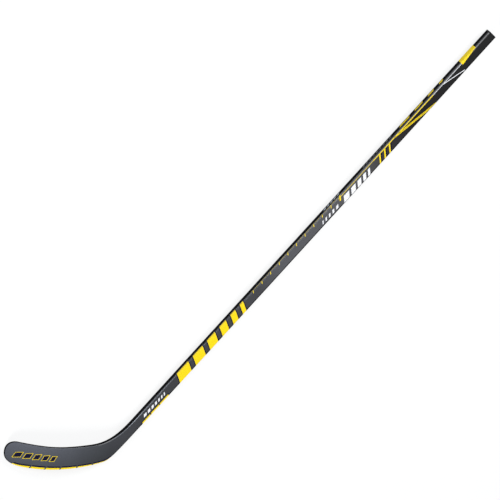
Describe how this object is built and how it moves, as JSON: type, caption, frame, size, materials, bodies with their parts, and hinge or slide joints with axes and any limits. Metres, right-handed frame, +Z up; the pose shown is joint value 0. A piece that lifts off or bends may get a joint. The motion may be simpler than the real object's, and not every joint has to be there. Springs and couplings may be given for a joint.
{
  "type": "ice hockey stick",
  "caption": "Composite ice hockey stick: hollow rectangular shaft with a fused, curved blade and a capped butt end, lying with its backhand face up.",
  "frame": {"origin": "middle of the stick's box, on the floor that it lies on", "axes": "+X up the shaft towards the butt end, +Z up from the floor, out of the backhand side"},
  "size_m": [1.712, 0.2546, 0.026],
  "materials": {
    "shaft_lacquer": "clear lacquer over dark grey print on carbon fibre, grey low down and black at the butt",
    "blade_lacquer": "satin lacquer over grey print on carbon fibre",
    "edge_lacquer": "black lacquer, with a yellow band along the bottom edge",
    "cap_plastic": "moulded black plastic",
    "foam": "rigid foam",
    "carbon": "bare carbon laminate",
    "glue": "cured epoxy"
  },
  "bodies": {
    "root": {"shaft_tube": "shaft_lacquer", "end_cap": "cap_plastic", "joint_adhesive": "glue", "blade_hosel": "blade_lacquer", "hosel_core": "foam", "backhand_skin": "blade_lacquer", "forehand_skin": "blade_lacquer", "blade_edge": "edge_lacquer", "upper_core": "foam", "lower_core": "foam", "blade_rib": "carbon"}
  },
  "joints": []
}
